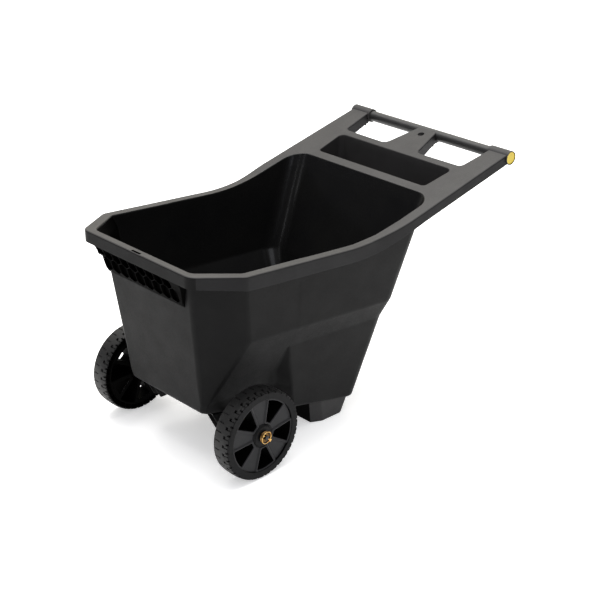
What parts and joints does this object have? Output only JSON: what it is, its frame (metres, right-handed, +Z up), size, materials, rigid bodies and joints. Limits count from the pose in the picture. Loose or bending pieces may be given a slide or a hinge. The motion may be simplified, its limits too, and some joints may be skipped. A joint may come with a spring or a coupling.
{
  "type": "yard cart",
  "caption": "Two-wheeled poly yard cart: deep one-piece tub with rolled rim, rails with tool tray and hand openings, cross-tube handle, spoked wheels on an axle and moulded rear feet.",
  "frame": {"origin": "bottom centre of the whole cart's box, on the ground", "axes": "+X from the nose at the wheel end towards the handle, +Y towards the far side of the picture, +Z up"},
  "size_m": [1.1446, 0.623, 0.6882],
  "materials": {
    "poly": "fine-grained matte moulding, glossy inside the tub",
    "tube": "black powder coat",
    "bracket": "black powder coat",
    "plug": "satin yellow",
    "wheel": "matte moulding",
    "nylon": "satin",
    "steel": "plain zinc",
    "zinc": "yellow zinc"
  },
  "bodies": {
    "cart": {"tub_and_deck": "poly", "handle_tube": "tube", "handle_plug_near": "plug", "handle_plug_far": "plug", "handle_screw_near": "steel", "handle_screw_far": "steel", "axle": "steel", "axle_bracket_near": "bracket", "axle_bracket_far": "bracket", "spacer_near": "nylon", "spacer_far": "nylon", "washer_near": "zinc", "washer_far": "zinc", "linch_pin_near": "zinc", "linch_pin_far": "zinc", "linch_ring_near": "zinc", "linch_ring_far": "zinc", "bracket_bolt_far_front": "steel", "bracket_nut_far_front": "steel", "bracket_bolt_far_rear": "steel", "bracket_nut_far_rear": "steel", "bracket_bolt_near_front": "steel", "bracket_nut_near_front": "steel", "bracket_bolt_near_rear": "steel", "bracket_nut_near_rear": "steel"},
    "wheel_far_set": {"wheel_far": "wheel", "hub_bush_outer_far": "nylon", "hub_bush_inner_far": "nylon"},
    "wheel_near_set": {"wheel_near": "wheel", "hub_bush_outer_near": "nylon", "hub_bush_inner_near": "nylon"}
  },
  "joints": [
    {"name": "wheel_far_spin", "type": "hinge", "parent": "cart", "child": "wheel_far_set", "pos_m": [-0.3995, 0.261, 0.127], "axis": [0, 1, 0], "continuous": true},
    {"name": "wheel_near_spin", "type": "hinge", "parent": "cart", "child": "wheel_near_set", "pos_m": [-0.3995, -0.261, 0.127], "axis": [0, 1, 0], "continuous": true}
  ]
}
